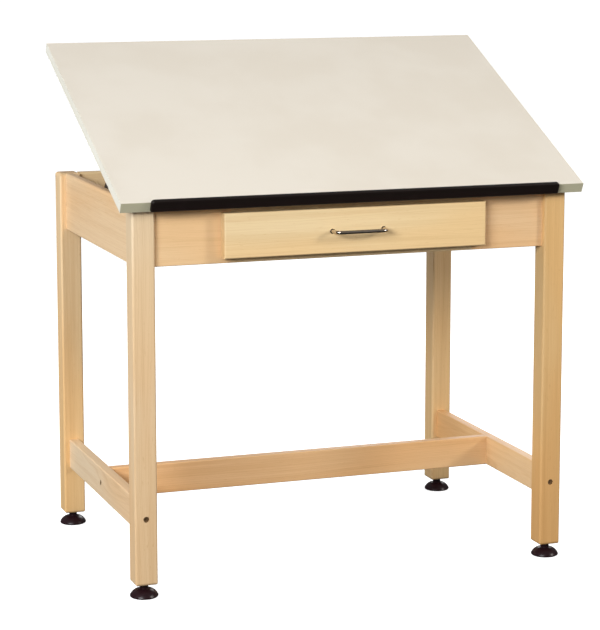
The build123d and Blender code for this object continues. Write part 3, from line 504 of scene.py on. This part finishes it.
def cut_recesses(node):
    """The node's screws, each with a cross recess cut into its head."""
    source = bmesh.new()
    source.from_mesh(nodes[node].data)
    bmesh.ops.remove_doubles(source, verts=source.verts, dist=WELD_DISTANCE)
    plugs = bmesh.new()
    for faces in islands(source):
        add_cross(plugs, *screw_head(faces))
    bmesh.ops.recalc_face_normals(plugs, faces=plugs.faces)
    screws_mesh = bpy.data.meshes.new(f"{node}_driven")
    source.to_mesh(screws_mesh)
    plugs_mesh = bpy.data.meshes.new(f"{node}_plugs")
    plugs.to_mesh(plugs_mesh)
    source.free()
    plugs.free()
    screws = new_object(f"{node}_driven", screws_mesh)
    cutter = new_object(f"{node}_plugs", plugs_mesh)
    cut = screws.modifiers.new("recess", "BOOLEAN")
    cut.operation = "DIFFERENCE"
    cut.solver = "EXACT"
    cut.object = cutter
    evaluated = screws.evaluated_get(bpy.context.evaluated_depsgraph_get())
    result = bpy.data.meshes.new_from_object(evaluated)
    screws.modifiers.clear()
    screws.data = result
    bpy.data.objects.remove(cutter)
    bpy.data.meshes.remove(plugs_mesh)
    bpy.data.meshes.remove(screws_mesh)
    stand_for(screws, node)


for node in SCREW_NODES:
    cut_recesses(node)

# ---- threads of the glide studs ----
THREAD_PITCH = 0.00125
THREAD_DEPTH = 0.0007
THREAD_STEPS = 4  # rings of points in one turn of the thread
THREAD_SIDES = 20


def thread_stud(node):
    """A stud with a helical thread, as long and as wide as the CAD one."""
    low, high = (Vector(corner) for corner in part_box(node))
    centre = (low + high) / 2
    radius = (high.x - low.x) / 2
    rings = round((high.z - low.z) / THREAD_PITCH * THREAD_STEPS)
    bm = bmesh.new()
    grid = []
    for ring in range(rings + 1):
        z = low.z + (high.z - low.z) * ring / rings
        taper = min(1.0, ring / THREAD_STEPS, (rings - ring) / THREAD_STEPS)
        row = []
        for side in range(THREAD_SIDES):
            turn = side / THREAD_SIDES
            phase = (ring / THREAD_STEPS - turn) % 1.0
            crest = 1.0 - abs(2.0 * phase - 1.0)
            r = radius - THREAD_DEPTH * (1.0 - crest * taper)
            angle = turn * math.tau
            x = centre.x + r * math.cos(angle)
            y = centre.y + r * math.sin(angle)
            row.append(bm.verts.new((x, y, z)))
        grid.append(row)
    for lower, upper in zip(grid, grid[1:]):
        for side in range(THREAD_SIDES):
            after = (side + 1) % THREAD_SIDES
            bm.faces.new((lower[side], lower[after], upper[after], upper[side]))
    bm.faces.new(grid[0][::-1])
    bm.faces.new(grid[-1])
    mesh = bpy.data.meshes.new(f"{node}_threaded")
    bm.to_mesh(mesh)
    bm.free()
    stand_for(new_object(f"{node}_threaded", mesh), node)


for node in nodes:
    if node.startswith("glide_stud_"):
        thread_stud(node)

# ---- camera ----
CAMERA_PLACE = (-1.496, -4.155, 1.259)
CAMERA_YAW = 19.65
CAMERA_PITCH = 8.64
CAMERA_LENS = 128.97
CAMERA_RISE = -0.10
CAMERA_REACH = 200

camera = bpy.data.objects.new("camera", bpy.data.cameras.new("camera"))
bpy.context.scene.collection.objects.link(camera)
camera.location = CAMERA_PLACE
camera.rotation_euler = (math.radians(90 - CAMERA_PITCH), 0, math.radians(-CAMERA_YAW))
camera.data.lens = CAMERA_LENS
camera.data.shift_y = CAMERA_RISE
camera.data.clip_end = CAMERA_REACH
bpy.context.scene.camera = camera

# ---- floor, world and lights ----
FLOOR_SIDE = 120.0
FLOOR_GLOW = 0.68
FLOOR_ROUGHNESS = 0.9
SKY_LOW = 0.08
SKY_HIGH = 0.52
SKY_RISE = (-0.5, 0.7)
MIRRORED_SKY = 0.42
NARROW = 70
WIDE = 180


def make_floor():
    """A plain pale floor that glows a little, and doesn't throw light back at the table."""
    mesh = bpy.data.meshes.new("floor")
    half = FLOOR_SIDE / 2
    corners = [(-half, -half, 0), (half, -half, 0), (half, half, 0), (-half, half, 0)]
    mesh.from_pydata(corners, [], [(0, 1, 2, 3)])
    floor = bpy.data.objects.new("floor", mesh)
    bpy.context.scene.collection.objects.link(floor)
    g = Graph("pale_floor")
    g.shader.inputs["Emission Color"].default_value = (1, 1, 1, 1)
    g.shader.inputs["Emission Strength"].default_value = FLOOR_GLOW
    mesh.materials.append(g.finish((*FLOOR, 1), FLOOR_ROUGHNESS))
    floor.visible_diffuse = False
    floor.visible_glossy = False


def make_world():
    """White to the camera; to the object a soft light that is bright above and dim below."""
    world = bpy.data.worlds.new("studio")
    bpy.context.scene.world = world
    world.use_nodes = True
    tree = world.node_tree
    coords = tree.nodes.new("ShaderNodeTexCoord")
    split = tree.nodes.new("ShaderNodeSeparateXYZ")
    tree.links.new(coords.outputs["Generated"], split.inputs[0])
    height = tree.nodes.new("ShaderNodeMapRange")
    tree.links.new(split.outputs["Z"], height.inputs["Value"])
    height.inputs["From Min"].default_value, height.inputs["From Max"].default_value = SKY_RISE
    height.inputs["To Min"].default_value = SKY_LOW
    height.inputs["To Max"].default_value = SKY_HIGH
    paths = tree.nodes.new("ShaderNodeLightPath")
    mirrored = tree.nodes.new("ShaderNodeMapRange")
    tree.links.new(paths.outputs["Is Glossy Ray"], mirrored.inputs["Value"])
    mirrored.inputs["To Min"].default_value = 1.0
    mirrored.inputs["To Max"].default_value = MIRRORED_SKY
    dimmed = tree.nodes.new("ShaderNodeMath")
    dimmed.operation = "MULTIPLY"
    tree.links.new(height.outputs[0], dimmed.inputs[0])
    tree.links.new(mirrored.outputs[0], dimmed.inputs[1])
    strength = tree.nodes.new("ShaderNodeMapRange")
    tree.links.new(paths.outputs["Is Camera Ray"], strength.inputs["Value"])
    tree.links.new(dimmed.outputs[0], strength.inputs["To Min"])
    strength.inputs["To Max"].default_value = 1.0
    background = tree.nodes["Background"]
    background.inputs["Color"].default_value = (1, 1, 1, 1)
    tree.links.new(strength.outputs[0], background.inputs["Strength"])


def softbox(name, place, aim, size, power, color, spread):
    """A rectangular light that the camera doesn't see. Its spread is in degrees."""
    light = bpy.data.lights.new(name, "AREA")
    light.spread = math.radians(spread)
    light.shape = "RECTANGLE"
    light.size, light.size_y = size
    light.energy = power
    light.color = color
    obj = bpy.data.objects.new(name, light)
    bpy.context.scene.collection.objects.link(obj)
    obj.location = place
    obj.rotation_euler = (Vector(aim) - Vector(place)).to_track_quat("-Z", "Y").to_euler()
    obj.visible_camera = False
    return obj


make_floor()
make_world()
softbox(
    "key",
    place=(-3.5, -3.7, 2.2),
    aim=(-0.1, -0.2, 0.75),
    size=(2.6, 1.4),
    power=38,
    color=(0.96, 0.99, 1.02),
    spread=NARROW,
)
softbox(
    "right",
    place=(3.4, -2.9, 2.2),
    aim=(0, -0.2, 0.75),
    size=(0.9, 0.9),
    power=11.5,
    color=(1.0, 0.96, 0.90),
    spread=NARROW,
)
left = softbox(
    "left",
    place=(-4.8, 0.5, 1.5),
    aim=(0, 0, 0.6),
    size=(1.2, 2.4),
    power=15,
    color=(0.86, 0.97, 1.15),
    spread=NARROW,
)
# seen from the right, its mirror image would whiten the tops of the stretcher and rails
left.visible_glossy = False
softbox(
    "back",
    place=(1.8, 2.8, 2.0),
    aim=(0, 0, 0.5),
    size=(1.6, 1.6),
    power=30,
    color=(1, 1, 1),
    spread=WIDE,
)

scene = bpy.context.scene
scene.view_settings.view_transform = "Standard"
scene.view_settings.look = "None"
